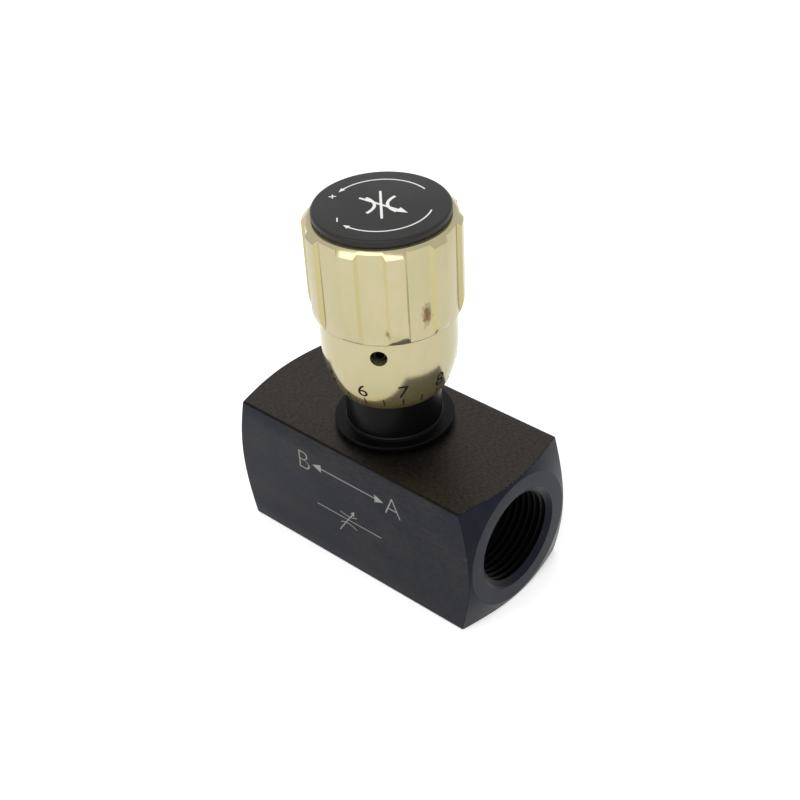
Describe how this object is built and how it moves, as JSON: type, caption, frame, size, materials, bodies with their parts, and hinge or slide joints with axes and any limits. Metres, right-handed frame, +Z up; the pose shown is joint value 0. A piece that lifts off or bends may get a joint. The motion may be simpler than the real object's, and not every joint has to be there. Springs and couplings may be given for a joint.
{
  "type": "flow control valve",
  "caption": "Inline hydraulic flow control valve: square steel body with threaded end ports, and a ribbed dial knob that turns and raises a throttle spindle.",
  "frame": {"origin": "middle of the body's underside, below the spindle's axis", "axes": "+X along the flow towards port A, -Y out of the face that carries the valve symbol, +Z up along the spindle towards the knob"},
  "size_m": [0.0794, 0.0382, 0.1003],
  "materials": {
    "black_oxide_steel": "satin",
    "blackened_bonnet": "satin",
    "yellow_chromate": "satin",
    "black_plastic": "satin",
    "ground_steel": "satin",
    "screw_steel": "satin",
    "seal_rubber": "matte",
    "backup_plastic": "matte",
    "wiper_polymer": "matte",
    "brass_pad": "satin"
  },
  "bodies": {
    "valve": {"valve_body": "black_oxide_steel", "bonnet": "blackened_bonnet", "flange_o_ring": "seal_rubber", "bonnet_o_ring": "seal_rubber", "bonnet_backup_ring_lower": "backup_plastic", "bonnet_backup_ring_upper": "backup_plastic", "stem_wiper": "wiper_polymer"},
    "stem_seals": {"stem_o_ring": "seal_rubber", "stem_backup_ring_lower": "backup_plastic", "stem_backup_ring_upper": "backup_plastic"},
    "knob": {"spindle": "ground_steel", "knob_shell": "yellow_chromate", "knob_cap": "black_plastic", "knob_screw": "screw_steel", "knob_washer": "ground_steel"},
    "lock_pad": {"lock_pad": "brass_pad"},
    "lock_screw": {"lock_screw": "screw_steel"}
  },
  "joints": [
    {"name": "spindle_lift", "type": "slide", "parent": "valve", "child": "stem_seals", "axis": [0, 0, 1], "range_m": [0, 0.006]},
    {"name": "knob_turn", "type": "hinge", "parent": "stem_seals", "child": "knob", "pos_m": [0, 0, 0.075], "axis": [0, 0, 1], "range_deg": [0, 2160]},
    {"name": "lock_pad_slide", "type": "slide", "parent": "knob", "child": "lock_pad", "axis": [0.5563, -0.831, 0], "range_m": [0, 0.0008]},
    {"name": "lock_screw_turn", "type": "hinge", "parent": "lock_pad", "child": "lock_screw", "pos_m": [0.00751, -0.01122, 0.0687], "axis": [0.5563, -0.831, 0], "range_deg": [0, 360]}
  ],
  "couplings": [
    {"joint": "knob_turn", "follows": "spindle_lift", "rad_per_m": 6283.2},
    {"joint": "lock_screw_turn", "follows": "lock_pad_slide", "rad_per_m": 7854}
  ]
}
